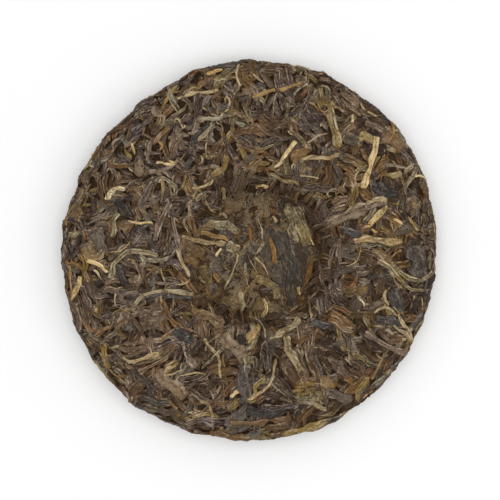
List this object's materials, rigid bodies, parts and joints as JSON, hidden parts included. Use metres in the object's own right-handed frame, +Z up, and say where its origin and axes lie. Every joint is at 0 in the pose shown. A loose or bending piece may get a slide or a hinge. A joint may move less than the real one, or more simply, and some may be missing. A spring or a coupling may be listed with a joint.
{
  "type": "pu erh tea cake",
  "caption": "Round pressed cake of twisted dark tea leaves, with a rounded rim, a domed face with a flat spot that it rests on, and a knot hollow in the upper face.",
  "frame": {"origin": "middle of the flat spot in the centre of the domed face, which the cake rests on", "axes": "+Z up through the middle of the hollow, out of the hollowed face; +X to the right and +Y to the top in the picture, which looks straight down on that face"},
  "size_m": [0.2013, 0.2046, 0.027],
  "materials": {
    "tea_leaf": "dry twisted leaf, dark brown with olive and golden strands, faint sheen"
  },
  "bodies": {
    "root": {"tea_cake": "tea_leaf"}
  },
  "joints": []
}
